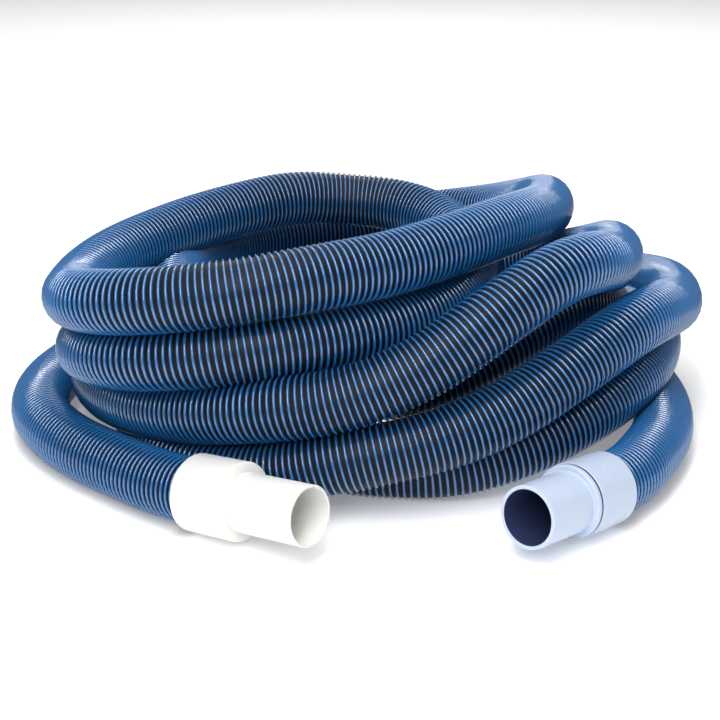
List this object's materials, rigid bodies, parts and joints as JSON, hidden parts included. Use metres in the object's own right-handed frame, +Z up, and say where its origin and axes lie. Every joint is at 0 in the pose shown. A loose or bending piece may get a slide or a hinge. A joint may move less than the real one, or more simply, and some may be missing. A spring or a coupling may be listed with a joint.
{
  "type": "vacuum hose",
  "caption": "Ribbed flexible hose in a loose coil, with a one-piece cuff on one end and a swivelling cuff on the other",
  "frame": {"origin": "on the floor under the middle of the whole coil", "axes": "+Z up, +X to the right, -Y to the front where both cuffs lie"},
  "size_m": [0.5994, 0.5984, 0.2046],
  "materials": {
    "hose_black": "semi-gloss flexible plastic with a helical rib",
    "cuff_white": "smooth moulded plastic",
    "cuff_blue": "smooth moulded plastic",
    "ring_white": "smooth moulded plastic",
    "seal_black": "matt rubber"
  },
  "bodies": {
    "hose": {"hose_coil": "hose_black", "hose_tail_fixed": "hose_black", "hose_tail_swivel": "hose_black", "fixed_cuff": "cuff_white", "swivel_sleeve": "cuff_blue", "seal_ring": "seal_black"},
    "nozzle": {"swivel_nozzle": "cuff_blue", "retaining_ring": "ring_white"}
  },
  "joints": [
    {"name": "cuff_swivel", "type": "hinge", "parent": "hose", "child": "nozzle", "pos_m": [0.1695, -0.2074, 0.02692], "axis": [-0.6748, -0.7338, 0.0785], "continuous": true}
  ]
}
